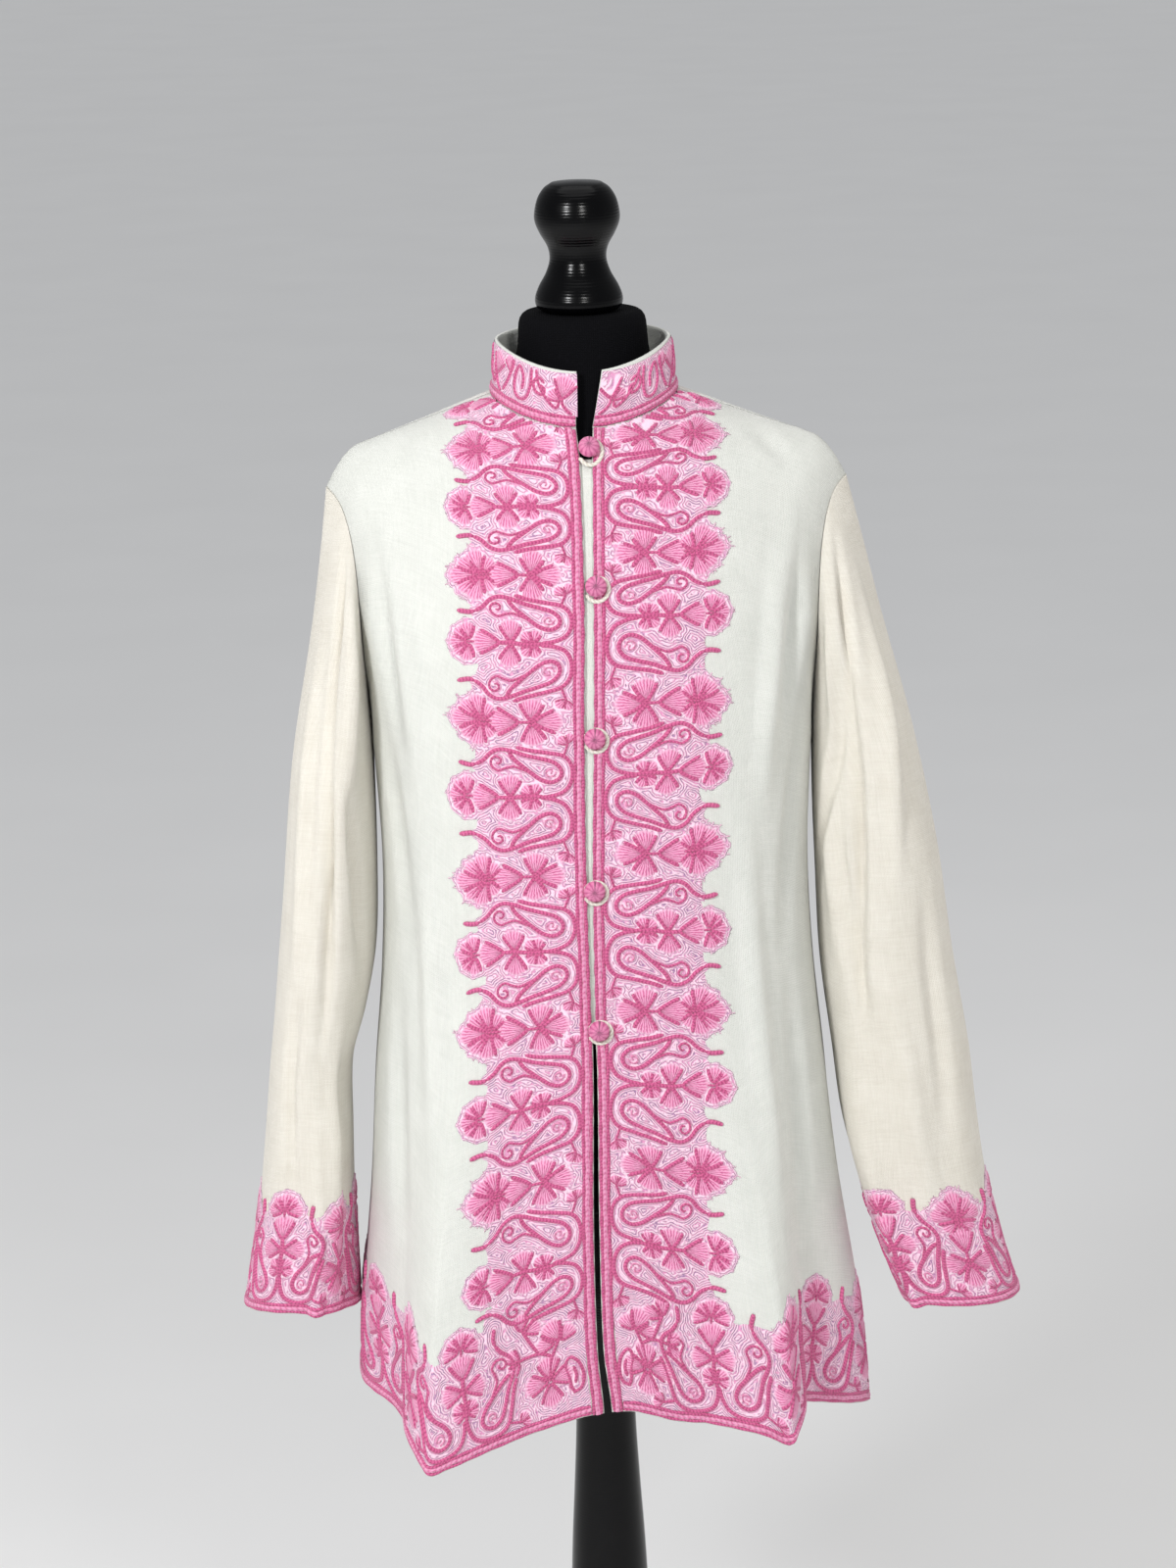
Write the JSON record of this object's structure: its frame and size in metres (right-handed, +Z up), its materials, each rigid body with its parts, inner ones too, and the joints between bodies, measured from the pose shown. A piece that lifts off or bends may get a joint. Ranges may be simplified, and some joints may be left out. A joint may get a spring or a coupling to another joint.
{
  "type": "woollen jacket on a dress form",
  "caption": "Embroidered woollen stand-collar jacket with ball buttons and loops, on a limbless dress form with a turned stand.",
  "frame": {"origin": "centre of the round base's underside, on the floor", "axes": "+Z up, -Y towards the jacket's front, +X towards the wearer's left"},
  "size_m": [0.5923, 0.34, 1.4486],
  "materials": {
    "wool": "cream woven wool with a soft nap",
    "thread": "pink chain-stitched thread",
    "cord": "cream wool cord",
    "jersey": "black cotton jersey",
    "black_wood": "turned wood in satin black lacquer"
  },
  "bodies": {
    "root": {"front_left": "wool", "front_right": "wool", "back": "wool", "sleeve_left": "wool", "sleeve_right": "wool", "collar": "wool", "underlap": "wool", "button_1": "thread", "button_2": "thread", "button_3": "thread", "button_4": "thread", "button_5": "thread", "loop_1": "cord", "loop_2": "cord", "loop_3": "cord", "loop_4": "cord", "loop_5": "cord", "form_torso": "jersey", "neck_knob": "black_wood", "stand_column": "black_wood", "stand_base": "black_wood"}
  },
  "joints": []
}
